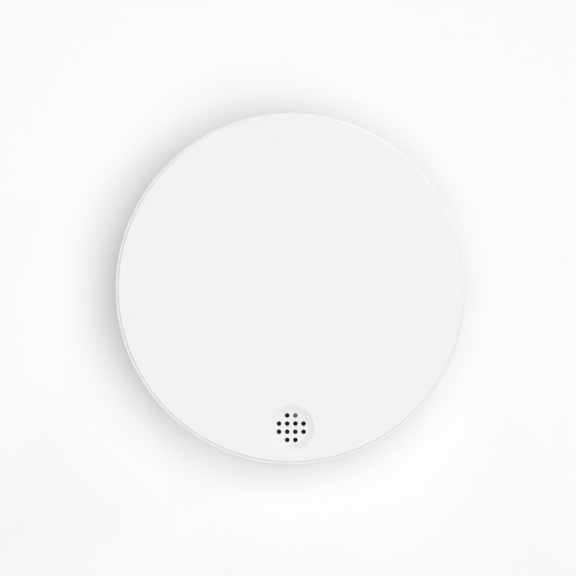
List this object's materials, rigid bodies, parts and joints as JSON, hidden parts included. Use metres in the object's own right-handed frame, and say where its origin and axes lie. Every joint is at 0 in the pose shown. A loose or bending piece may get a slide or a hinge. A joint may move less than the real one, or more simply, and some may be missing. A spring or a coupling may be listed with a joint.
{
  "type": "glass break sensor",
  "caption": "Round battery-powered wall sensor: plain white cover with a small microphone grille, hinged at one side and latched at the other, over a screw-on base.",
  "frame": {"origin": "centre of the base's back face", "axes": "+Z out of the wall towards the face, +Y up the wall, +X from the hinge towards the latch"},
  "size_m": [0.086, 0.086, 0.022],
  "materials": {
    "cover_plastic": "fine spark-eroded texture",
    "base_plastic": "fine spark-eroded texture",
    "latch_plastic": "smooth moulded acetal",
    "acoustic_cloth": "fine woven monofilament",
    "foam": "closed-cell foam",
    "silicone": "moulded silicone",
    "light_pipe_plastic": "smoky polished",
    "board": "green solder mask on glass-epoxy laminate",
    "cell_wrap": "printed shrink sleeve, plain",
    "nickel": "nickel plated",
    "spring_steel": "drawn wire, nickel plated",
    "copper_wire": "bare enamelled copper wire",
    "capsule_aluminium": "drawn can",
    "black_plastic": "moulded",
    "red_plastic": "moulded",
    "white_slider": "moulded",
    "chip_epoxy": "transfer-moulded epoxy",
    "tinned_lead": "tin plated",
    "tan_ceramic": "fired ceramic",
    "lamp_body": "white moulded lead frame with clear resin"
  },
  "bodies": {
    "root": {"mounting_base": "base_plastic", "base_spigot": "base_plastic", "cell_cradle": "base_plastic", "cover_latch": "latch_plastic", "circuit_board": "board", "board_screws": "tinned_lead", "battery_cell": "cell_wrap", "battery_positive_cap": "nickel", "positive_contact": "nickel", "negative_contact": "nickel", "battery_spring": "spring_steel", "microphone_capsule": "capsule_aluminium", "microphone_leads": "tinned_lead", "microphone_boot": "silicone", "status_lamp": "lamp_body", "light_pipe": "light_pipe_plastic", "tamper_switch_body": "black_plastic", "tamper_spring": "spring_steel", "test_switch_body": "black_plastic", "setting_switch_body": "red_plastic", "radio_shield_can": "tinned_lead", "radio_chip": "chip_epoxy", "processor_chip": "chip_epoxy", "crystal": "tinned_lead", "amplifier_chip": "chip_epoxy", "amplifier_leads": "tinned_lead", "capacitor_cans": "capsule_aluminium", "capacitor_feet": "black_plastic", "chip_resistors": "chip_epoxy", "chip_capacitors": "tan_ceramic", "coil_antenna": "copper_wire"},
    "cover": {"front_cover": "cover_plastic", "acoustic_mesh": "acoustic_cloth", "acoustic_gasket": "foam"},
    "tamper_plunger": {"tamper_plunger": "white_slider"},
    "test_button": {"test_button": "black_plastic"},
    "setting_slider_1": {"setting_slider_1": "white_slider"},
    "setting_slider_2": {"setting_slider_2": "white_slider"},
    "setting_slider_3": {"setting_slider_3": "white_slider"},
    "setting_slider_4": {"setting_slider_4": "white_slider"}
  },
  "joints": [
    {"name": "cover_swing", "type": "hinge", "parent": "root", "child": "cover", "pos_m": [-0.0414, 0, 0.0022], "axis": [0, -1, 0], "range_deg": [0, 75], "deforming": ["cover_latch"]},
    {"name": "tamper_press", "type": "slide", "parent": "root", "child": "tamper_plunger", "axis": [0, 0, 1], "range_m": [-0.0009, 0], "stiffness_N_per_m": 200, "springref_m": 0.0008, "deforming": ["tamper_spring"]},
    {"name": "test_press", "type": "slide", "parent": "root", "child": "test_button", "axis": [0, 0, 1], "range_m": [-0.00025, 0], "stiffness_N_per_m": 800, "springref_m": 0.0006},
    {"name": "setting_1", "type": "slide", "parent": "root", "child": "setting_slider_1", "axis": [0, 1, 0], "range_m": [0, 0.0015]},
    {"name": "setting_2", "type": "slide", "parent": "root", "child": "setting_slider_2", "axis": [0, 1, 0], "range_m": [0, 0.0015]},
    {"name": "setting_3", "type": "slide", "parent": "root", "child": "setting_slider_3", "axis": [0, 1, 0], "range_m": [0, 0.0015]},
    {"name": "setting_4", "type": "slide", "parent": "root", "child": "setting_slider_4", "axis": [0, 1, 0], "range_m": [0, 0.0015]}
  ]
}
